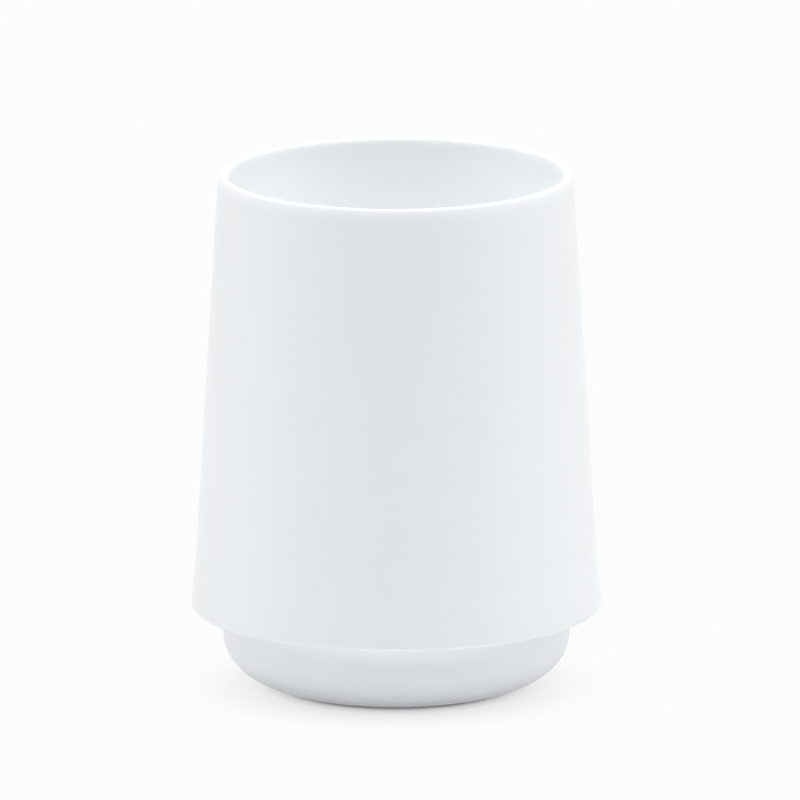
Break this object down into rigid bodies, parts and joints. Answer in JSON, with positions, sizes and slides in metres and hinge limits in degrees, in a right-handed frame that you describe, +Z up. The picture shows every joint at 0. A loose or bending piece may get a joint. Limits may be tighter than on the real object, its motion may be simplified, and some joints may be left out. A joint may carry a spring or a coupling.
{
  "type": "bathroom tumbler",
  "caption": "Matte white bathroom tumbler: tapered outer sleeve, wider at its lower edge, round-rimmed inner cup and set-back bowl foot, for rinsing or holding toothbrushes.",
  "frame": {"origin": "on the surface that the tumbler stands on, under the centre of the foot", "axes": "+Z up along the axis of revolution, from the foot to the rim; the tumbler looks the same from every side, and -Y faces the viewer"},
  "size_m": [0.0824, 0.0824, 0.105],
  "materials": {
    "white_shell": "matte white moulded plastic with a very fine even texture",
    "grey_rubber": "soft grey silicone rubber"
  },
  "bodies": {
    "root": {"inner_cup": "white_shell", "outer_sleeve": "white_shell", "foot_bowl": "white_shell", "non_slip_ring": "grey_rubber"}
  },
  "joints": []
}
